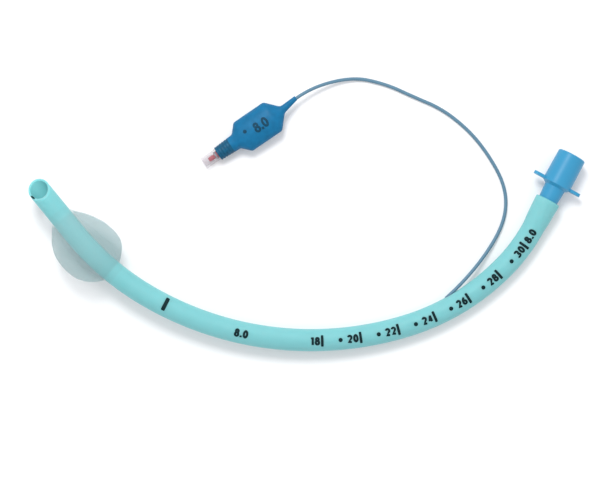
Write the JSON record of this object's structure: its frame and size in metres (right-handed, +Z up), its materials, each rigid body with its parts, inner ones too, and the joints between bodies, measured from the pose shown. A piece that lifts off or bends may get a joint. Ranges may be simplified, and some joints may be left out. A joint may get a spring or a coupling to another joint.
{
  "type": "endotracheal tube",
  "caption": "Curved clear airway tube with an inflated cuff, bevelled tip, side eye, blue 15 mm connector, thin inflation line, pilot balloon and sprung valve.",
  "frame": {"origin": "floor under the middle of the box round the tube, cuff and connector, leaving out the inflation line and what is on it", "axes": "+Z up from the floor the tube lies on; +X from the patient tip's side towards the machine end's side, along the longest extent; +Y towards the inside of the tube's curve, where the inflation line lies"},
  "size_m": [0.2892, 0.1444, 0.0327],
  "materials": {
    "tube_vinyl": "clear aqua, satin",
    "cuff_film": "thin frosted film",
    "connector_blue": "moulded, semi-gloss",
    "line_vinyl": "clear blue-grey, satin",
    "balloon_vinyl": "clear deep blue, gloss",
    "valve_clear": "clear, gloss",
    "plunger_red": "moulded, gloss",
    "seal_rubber": "soft, matte",
    "spring_steel": "drawn wire"
  },
  "bodies": {
    "root": {"tube": "tube_vinyl", "cuff": "cuff_film", "connector": "connector_blue", "inflation_line": "line_vinyl", "pilot_balloon": "balloon_vinyl", "valve_housing": "valve_clear", "valve_retainer": "valve_clear", "valve_spring": "spring_steel"},
    "plunger": {"valve_plunger": "plunger_red", "valve_seal": "seal_rubber"}
  },
  "joints": [
    {"name": "plunger_press", "type": "slide", "parent": "root", "child": "plunger", "axis": [0.8261, 0.5572, 0.0847], "range_m": [0, 0.0015], "stiffness_N_per_m": 400, "springref_m": -0.001, "deforming": ["valve_spring"]}
  ]
}
